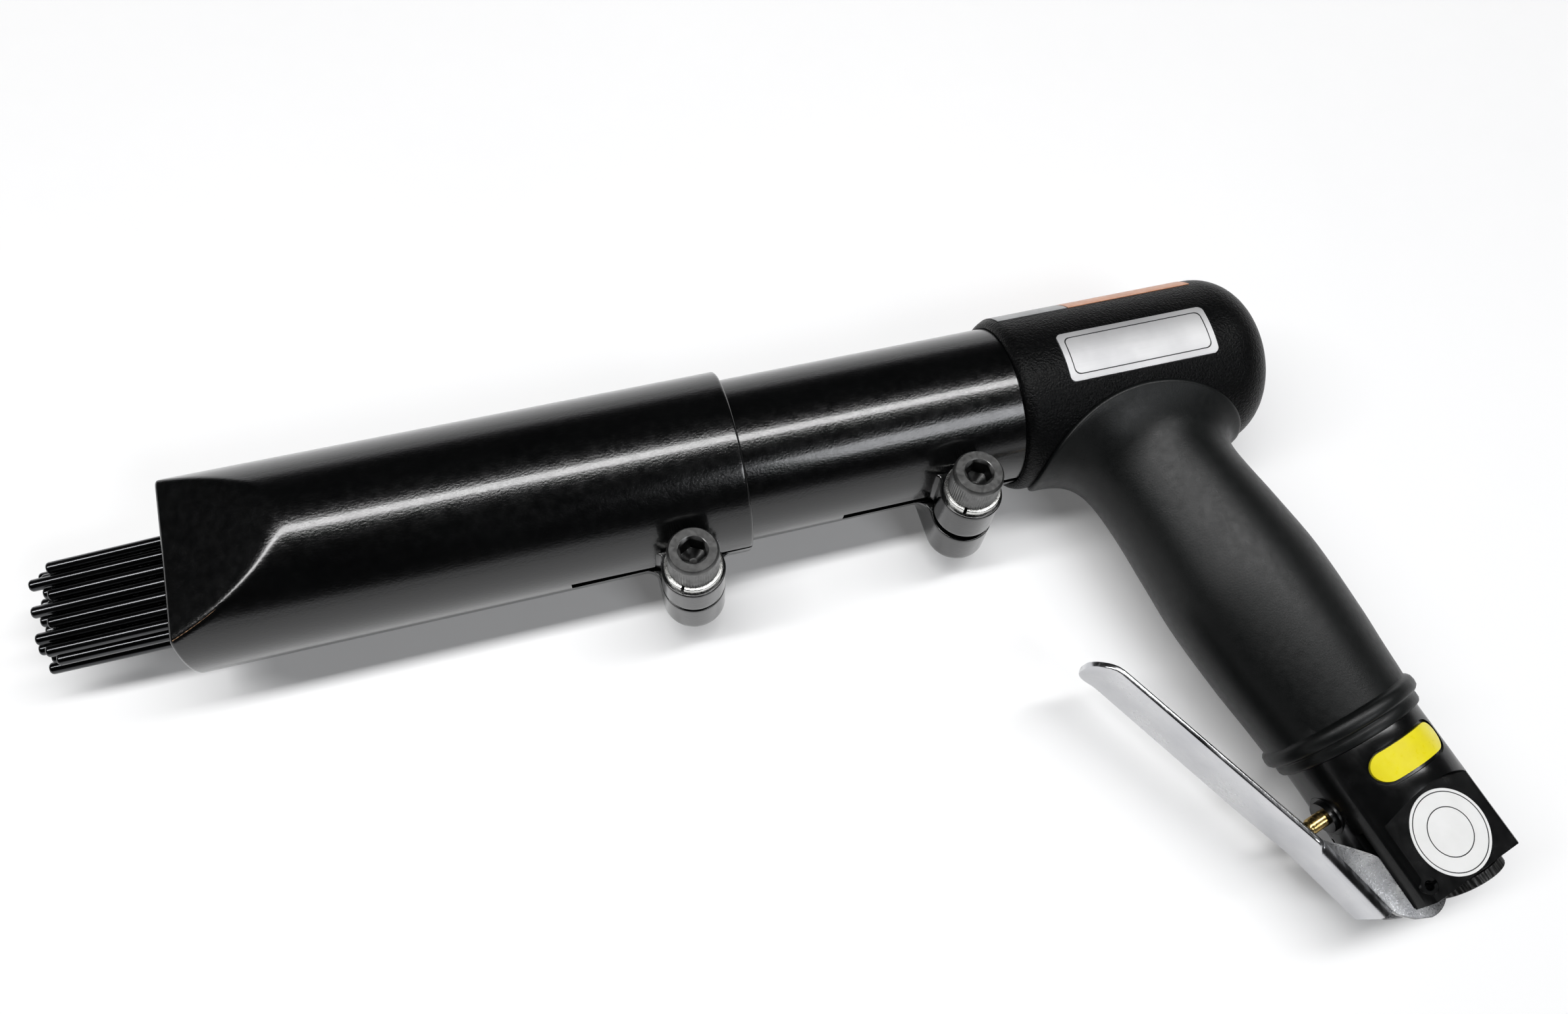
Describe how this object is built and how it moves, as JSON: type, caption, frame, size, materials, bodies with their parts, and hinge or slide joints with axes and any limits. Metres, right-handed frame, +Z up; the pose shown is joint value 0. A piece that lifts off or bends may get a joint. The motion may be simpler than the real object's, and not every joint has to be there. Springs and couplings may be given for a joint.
{
  "type": "needle scaler",
  "caption": "Pistol-grip pneumatic needle scaler: clamped telescoping tubes round a bundle of steel needles, rubber grip, throttle lever and threaded air inlet.",
  "frame": {"origin": "on the table, under the middle of the tool's box as it lies on its side", "axes": "+X along the barrel from the needles to the head, -Y toward the handle's foot, +Z up from the table"},
  "size_m": [0.3352, 0.1766, 0.0482],
  "materials": {
    "black_paint": "gloss paint with a fine orange peel",
    "cast_black": "semi-gloss painted casting",
    "black_oxide": "black oxide steel",
    "zinc": "bright zinc",
    "needle_steel": "blackened, glossy needle steel",
    "steel": "machined steel",
    "spring_steel": "drawn spring wire",
    "seal_rubber": "matte nitrile",
    "cover_rubber": "coarse matte texture",
    "grip_rubber": "smooth satin rubber",
    "lever_chrome": "plated sheet with rub marks",
    "brass": "turned brass",
    "plate_aluminium": "brushed plate",
    "grey_film": "plain label film",
    "orange_film": "plain label film",
    "yellow_film": "plain insert",
    "white_film": "plain label film"
  },
  "bodies": {
    "body": {"rear_tube": "black_paint", "rear_clamp_screw": "black_oxide", "rear_lock_washer": "zinc", "spring_seat": "steel", "return_spring": "spring_steel", "cylinder": "steel", "cylinder_seal": "seal_rubber", "valve_seat": "steel", "valve_cap": "steel", "valve_spring": "spring_steel", "locating_pin": "steel", "housing": "cast_black", "head_cover": "cover_rubber", "grip": "grip_rubber", "nameplate": "plate_aluminium", "grey_label": "grey_film", "orange_label": "orange_film", "oil_plate": "yellow_film", "round_label": "white_film", "lever_pin": "black_oxide", "stem_bush": "brass", "throttle_spring": "spring_steel", "inlet_bush": "black_oxide", "inlet_gasket": "seal_rubber", "inlet_screen": "brass"},
    "front_guide": {"front_tube": "black_paint", "front_clamp_screw": "black_oxide", "front_lock_washer": "zinc"},
    "needle_set": {"needles": "needle_steel", "needle_holder": "steel"},
    "anvil_body": {"anvil": "steel"},
    "piston_body": {"piston": "steel"},
    "valve_plate_body": {"valve_plate": "steel"},
    "lever": {"throttle_lever": "lever_chrome"},
    "throttle": {"throttle_stem": "brass", "throttle_valve": "seal_rubber"}
  },
  "joints": [
    {"name": "throttle_hinge", "type": "hinge", "parent": "body", "child": "lever", "pos_m": [0.13714, -0.08065, 0.01907], "axis": [0, 0.0342, -0.9994], "range_deg": [0, 10], "stiffness_Nm_per_rad": 1.5, "springref_deg": -2.86},
    {"name": "stem_slide", "type": "slide", "parent": "body", "child": "throttle", "axis": [0.9646, 0.2637, 0.009], "range_m": [0, 0.0041], "deforming": ["throttle_spring"]},
    {"name": "needle_slide", "type": "slide", "parent": "body", "child": "needle_set", "axis": [-1, 0, 0], "range_m": [0, 0.008], "stiffness_N_per_m": 3000, "springref_m": -0.004, "deforming": ["return_spring"]},
    {"name": "anvil_slide", "type": "slide", "parent": "body", "child": "anvil_body", "axis": [-1, 0, 0], "range_m": [0, 0.008]},
    {"name": "piston_slide", "type": "slide", "parent": "body", "child": "piston_body", "axis": [-1, 0, 0], "range_m": [-0.0015, 0.02]},
    {"name": "valve_slide", "type": "slide", "parent": "body", "child": "valve_plate_body", "axis": [1, 0, 0], "range_m": [-0.0006, 0.0006]},
    {"name": "front_tube_slide", "type": "slide", "parent": "body", "child": "front_guide", "axis": [1, 0, 0], "range_m": [-0.01, 0.03]}
  ],
  "couplings": [
    {"joint": "stem_slide", "follows": "throttle_hinge", "m_per_rad": 0.0226},
    {"joint": "anvil_slide", "follows": "needle_slide", "ratio": 1}
  ]
}
